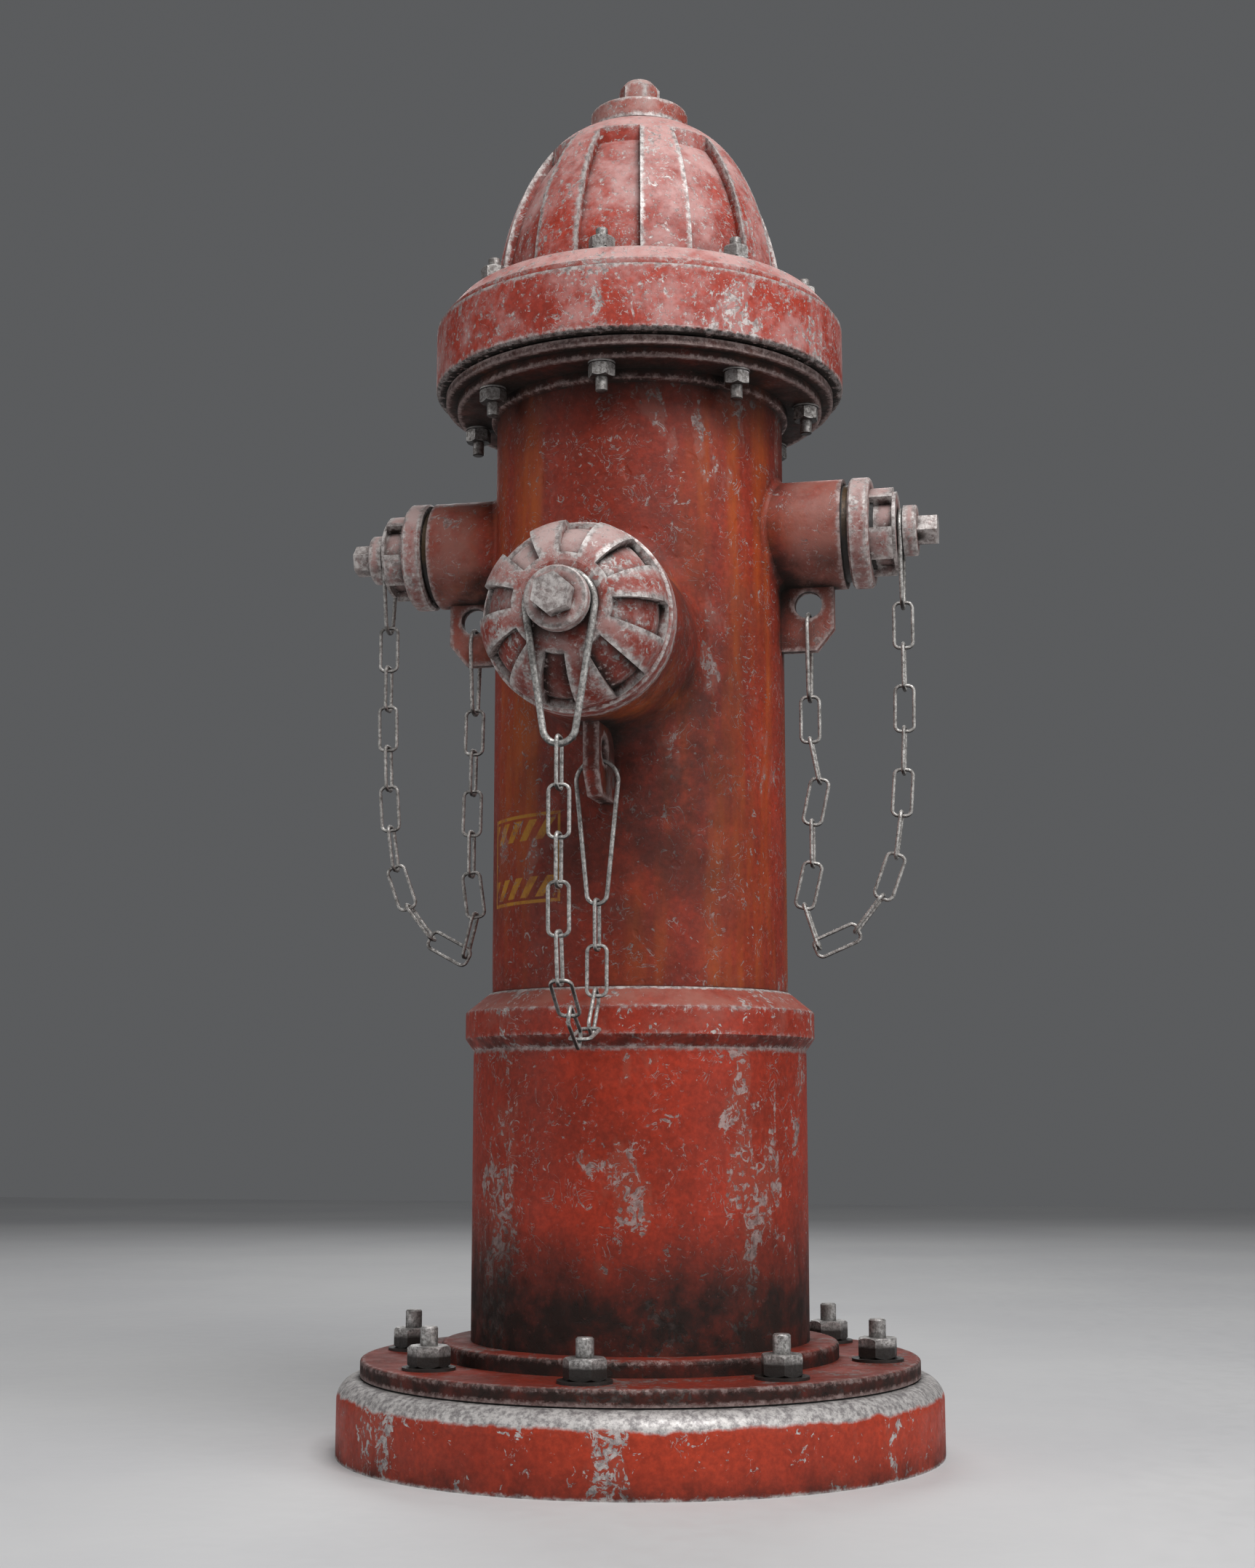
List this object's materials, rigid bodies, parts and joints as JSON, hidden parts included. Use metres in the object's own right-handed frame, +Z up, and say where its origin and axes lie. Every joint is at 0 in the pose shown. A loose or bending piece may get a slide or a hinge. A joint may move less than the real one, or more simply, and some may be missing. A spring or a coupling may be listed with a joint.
{
  "type": "fire hydrant",
  "caption": "Upright dry-barrel hydrant: ribbed dome with a hexagon operating nut, side outlets and a larger front outlet closed by chained screw caps, on a round studded base flange.",
  "frame": {"origin": "centre of the base flange's underside, on the hydrant's axis", "axes": "+Z up along the hydrant's axis; -Y out of the pumper outlet; +X and -X out of the hose outlets"},
  "size_m": [0.4146, 0.449, 0.954],
  "materials": {
    "barrel_paint": "weathered red enamel on cast iron",
    "bonnet_paint": "faded red enamel on cast iron",
    "nut_paint": "worn red enamel",
    "cap_paint": "faded and chipped red enamel",
    "fastener_steel": "weathered zinc plating",
    "chain_steel": "dull galvanised wire",
    "bronze": "machined bronze",
    "rubber": "black rubber",
    "valve_iron": "bare casting",
    "stem_steel": "machined steel"
  },
  "bodies": {
    "hydrant": {"base_ring": "barrel_paint", "base_gasket": "rubber", "base_studs": "fastener_steel", "base_washers": "fastener_steel", "base_nuts": "fastener_steel", "lower_barrel": "barrel_paint", "belt_ring": "barrel_paint", "barrel_gasket": "rubber", "upper_barrel": "barrel_paint", "right_nozzle": "bronze", "left_nozzle": "bronze", "pumper_nozzle": "bronze", "nozzle_gaskets": "rubber", "bonnet_gasket": "rubber", "bonnet": "bonnet_paint", "bonnet_studs": "fastener_steel", "bonnet_washers": "fastener_steel", "bonnet_nuts": "fastener_steel", "hold_down_nut": "nut_paint", "nut_seal_ring": "rubber", "thrust_washers": "bronze", "seat_ring": "bronze", "seat_seal_ring": "rubber"},
    "operating_nut": {"operating_nut": "nut_paint"},
    "stem": {"upper_stem": "stem_steel", "stem_coupling": "stem_steel", "coupling_pins": "stem_steel", "lower_stem": "stem_steel", "upper_valve_plate": "valve_iron", "main_valve": "rubber", "lower_valve_plate": "valve_iron", "valve_nut": "stem_steel"},
    "right_cap_loop": {"right_cap_loop": "chain_steel"},
    "right_cap": {"right_cap": "cap_paint", "right_cap_gasket": "rubber"},
    "right_lug_loop": {"right_lug_loop": "chain_steel"},
    "right_lug_chain": {"right_lug_chain": "chain_steel"},
    "right_cap_chain": {"right_cap_chain": "chain_steel"},
    "left_cap_loop": {"left_cap_loop": "chain_steel"},
    "left_cap": {"left_cap": "cap_paint", "left_cap_gasket": "rubber"},
    "left_lug_loop": {"left_lug_loop": "chain_steel"},
    "left_lug_chain": {"left_lug_chain": "chain_steel"},
    "left_cap_chain": {"left_cap_chain": "chain_steel"},
    "pumper_cap_loop": {"pumper_cap_loop": "chain_steel"},
    "pumper_cap": {"pumper_cap": "cap_paint", "pumper_cap_gasket": "rubber"},
    "pumper_lug_loop": {"pumper_lug_loop": "chain_steel"},
    "pumper_lug_chain": {"pumper_lug_chain": "chain_steel"},
    "pumper_cap_chain": {"pumper_cap_chain": "chain_steel"}
  },
  "joints": [
    {"name": "operating_nut_turn", "type": "hinge", "parent": "hydrant", "child": "operating_nut", "pos_m": [0, 0, 0.9], "axis": [0, 0, 1], "range_deg": [0, 1800.5]},
    {"name": "stem_travel", "type": "slide", "parent": "hydrant", "child": "stem", "axis": [0, 0, -1], "range_m": [0, 0.03175]},
    {"name": "right_cap_travel", "type": "slide", "parent": "hydrant", "child": "right_cap_loop", "axis": [1, 0, 0], "range_m": [0, 0.01562]},
    {"name": "right_cap_turn", "type": "hinge", "parent": "right_cap_loop", "child": "right_cap", "pos_m": [0.1826, 0, 0.611], "axis": [1, 0, 0], "range_deg": [0, 1980]},
    {"name": "right_chain_swing", "type": "hinge", "parent": "hydrant", "child": "right_lug_loop", "pos_m": [0.1185, 0, 0.5505], "axis": [1, 0, 0], "range_deg": [-10, 10]},
    {"name": "right_lug_chain_lean", "type": "hinge", "parent": "right_lug_loop", "child": "right_lug_chain", "pos_m": [0.1185, 0, 0.49579], "axis": [0, -1, 0], "range_deg": [-0.2, 4.48]},
    {"name": "right_cap_chain_lean", "type": "hinge", "parent": "right_lug_chain", "child": "right_cap_chain", "pos_m": [0.1228, 0, 0.32743], "axis": [0, -1, 0], "range_deg": [-5.22, 0.2]},
    {"name": "left_cap_travel", "type": "slide", "parent": "hydrant", "child": "left_cap_loop", "axis": [-1, 0, 0], "range_m": [0, 0.01562]},
    {"name": "left_cap_turn", "type": "hinge", "parent": "left_cap_loop", "child": "left_cap", "pos_m": [-0.1826, 0, 0.611], "axis": [-1, 0, 0], "range_deg": [0, 1980]},
    {"name": "left_chain_swing", "type": "hinge", "parent": "hydrant", "child": "left_lug_loop", "pos_m": [-0.1185, 0, 0.5505], "axis": [-1, 0, 0], "range_deg": [-10, 10]},
    {"name": "left_lug_chain_lean", "type": "hinge", "parent": "left_lug_loop", "child": "left_lug_chain", "pos_m": [-0.1185, 0, 0.49574], "axis": [0, 1, 0], "range_deg": [-0.2, 4.35]},
    {"name": "left_cap_chain_lean", "type": "hinge", "parent": "left_lug_chain", "child": "left_cap_chain", "pos_m": [-0.12387, 0, 0.32524], "axis": [0, 1, 0], "range_deg": [-5.14, 0.2]},
    {"name": "pumper_cap_travel", "type": "slide", "parent": "hydrant", "child": "pumper_cap_loop", "axis": [0, -1, 0], "range_m": [0, 0.02338]},
    {"name": "pumper_cap_turn", "type": "hinge", "parent": "pumper_cap_loop", "child": "pumper_cap", "pos_m": [0, -0.226, 0.519], "axis": [0, -1, 0], "range_deg": [0, 1980]},
    {"name": "pumper_chain_swing", "type": "hinge", "parent": "hydrant", "child": "pumper_lug_loop", "pos_m": [0, -0.128, 0.429], "axis": [0, -1, 0], "range_deg": [-10, 10]},
    {"name": "pumper_lug_chain_lean", "type": "hinge", "parent": "pumper_lug_loop", "child": "pumper_lug_chain", "pos_m": [0, -0.128, 0.34763], "axis": [-1, 0, 0], "range_deg": [-0.2, 6.1]},
    {"name": "pumper_cap_chain_lean", "type": "hinge", "parent": "pumper_lug_chain", "child": "pumper_cap_chain", "pos_m": [0, -0.17407, 0.26214], "axis": [-1, 0, 0], "range_deg": [-11.11, 0.2]}
  ],
  "couplings": [
    {"joint": "operating_nut_turn", "follows": "stem_travel", "rad_per_m": 989.48},
    {"joint": "right_cap_travel", "follows": "right_cap_turn", "m_per_rad": 0.00044917},
    {"joint": "right_lug_chain_lean", "follows": "right_cap_turn", "ratio": 0.0021628},
    {"joint": "right_cap_chain_lean", "follows": "right_cap_turn", "ratio": -0.0025362},
    {"joint": "left_cap_travel", "follows": "left_cap_turn", "m_per_rad": 0.00044917},
    {"joint": "left_lug_chain_lean", "follows": "left_cap_turn", "ratio": 0.0020945},
    {"joint": "left_cap_chain_lean", "follows": "left_cap_turn", "ratio": -0.0024948},
    {"joint": "pumper_cap_travel", "follows": "pumper_cap_turn", "m_per_rad": 0.00067376},
    {"joint": "pumper_lug_chain_lean", "follows": "pumper_cap_turn", "ratio": 0.0029807},
    {"joint": "pumper_cap_chain_lean", "follows": "pumper_cap_turn", "ratio": -0.0055122}
  ]
}
